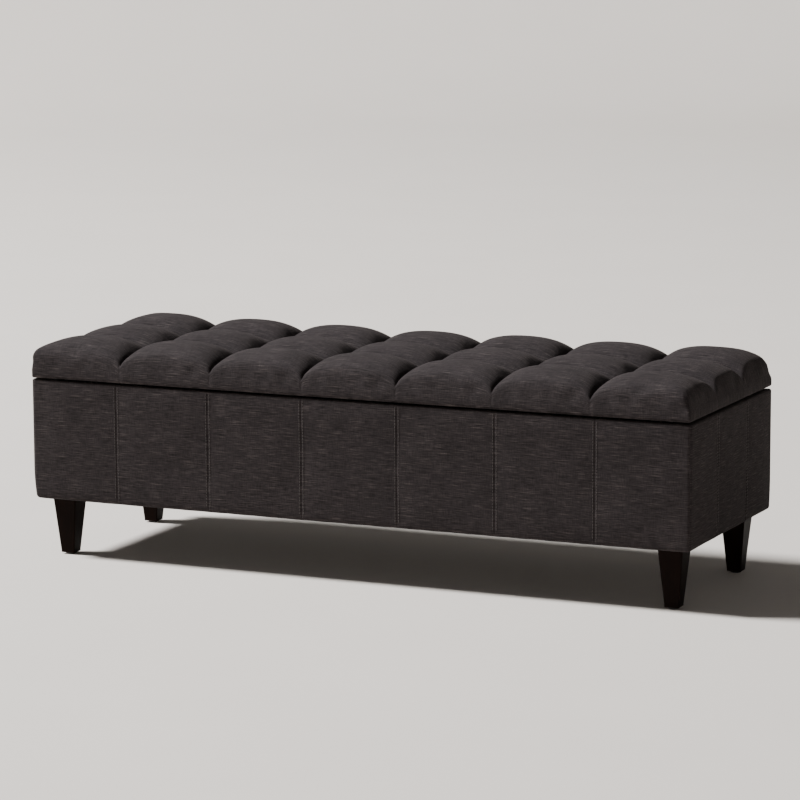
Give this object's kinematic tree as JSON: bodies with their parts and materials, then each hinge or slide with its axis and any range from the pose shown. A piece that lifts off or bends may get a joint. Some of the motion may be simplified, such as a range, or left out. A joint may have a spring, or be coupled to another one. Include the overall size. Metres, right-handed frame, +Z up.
{
  "type": "upholstered storage bench",
  "caption": "Long fabric-covered storage bench with a tufted hinged lid, plain panelled box and short tapered square legs.",
  "frame": {"origin": "on the floor, under the middle of the whole bench, hinge knuckles included", "axes": "+X along the bench, -Y towards its front, +Z up"},
  "size_m": [1.284, 0.4404, 0.4111],
  "materials": {
    "charcoal_fabric": "matte",
    "black_cloth": "matte",
    "wadding": "matte",
    "foam": "matte",
    "plywood": "matte",
    "dark_wood": "satin",
    "zinc_steel": "satin",
    "black_steel": "satin",
    "rubber": "matte",
    "black_plastic": "matte"
  },
  "bodies": {
    "box": {"front_panel": "plywood", "front_wadding": "wadding", "front_cover": "charcoal_fabric", "back_panel": "plywood", "back_wadding": "wadding", "back_cover": "charcoal_fabric", "left_panel": "plywood", "left_wadding": "wadding", "left_cover": "charcoal_fabric", "right_panel": "plywood", "right_wadding": "wadding", "right_cover": "charcoal_fabric", "bottom_board": "plywood", "left_bearer": "plywood", "right_bearer": "plywood", "centre_bearer": "plywood", "front_batten": "plywood", "back_batten": "plywood", "storage_lining": "black_cloth", "dust_cover": "black_cloth", "front_left_leg": "dark_wood", "front_left_hanger_bolt": "zinc_steel", "front_left_tnut": "zinc_steel", "front_left_glide": "black_plastic", "front_right_leg": "dark_wood", "front_right_hanger_bolt": "zinc_steel", "front_right_tnut": "zinc_steel", "front_right_glide": "black_plastic", "back_left_leg": "dark_wood", "back_left_hanger_bolt": "zinc_steel", "back_left_tnut": "zinc_steel", "back_left_glide": "black_plastic", "back_right_leg": "dark_wood", "back_right_hanger_bolt": "zinc_steel", "back_right_tnut": "zinc_steel", "back_right_glide": "black_plastic", "left_hinge_lower_leaf": "zinc_steel", "left_hinge_pin": "zinc_steel", "centre_hinge_lower_leaf": "zinc_steel", "centre_hinge_pin": "zinc_steel", "right_hinge_lower_leaf": "zinc_steel", "right_hinge_pin": "zinc_steel", "left_stay_base": "black_steel", "right_stay_base": "black_steel"},
    "lid": {"lid_board": "plywood", "lid_foam": "foam", "lid_cover": "charcoal_fabric", "lid_lining": "black_cloth", "left_bumper": "rubber", "right_bumper": "rubber", "left_hinge_upper_leaf": "zinc_steel", "centre_hinge_upper_leaf": "zinc_steel", "right_hinge_upper_leaf": "zinc_steel", "left_stay_bracket": "black_steel", "left_stay_rivet": "zinc_steel", "right_stay_bracket": "black_steel", "right_stay_rivet": "zinc_steel"},
    "left_stay": {"left_stay_arm": "black_steel"},
    "right_stay": {"right_stay_arm": "black_steel"}
  },
  "joints": [
    {"name": "lid_hinge", "type": "hinge", "parent": "box", "child": "lid", "pos_m": [0, 0.21725, 0.3335], "axis": [-1, 0, 0], "range_deg": [0, 95]},
    {"name": "left_stay_pivot", "type": "hinge", "parent": "lid", "child": "left_stay", "pos_m": [-0.6108, 0.12255, 0.326], "axis": [-1, 0, 0], "range_deg": [-47.5, 0]},
    {"name": "right_stay_pivot", "type": "hinge", "parent": "lid", "child": "right_stay", "pos_m": [0.6108, 0.12255, 0.326], "axis": [-1, 0, 0], "range_deg": [-47.5, 0]}
  ],
  "couplings": [
    {"joint": "left_stay_pivot", "follows": "lid_hinge", "ratio": -0.5},
    {"joint": "right_stay_pivot", "follows": "lid_hinge", "ratio": -0.5}
  ]
}
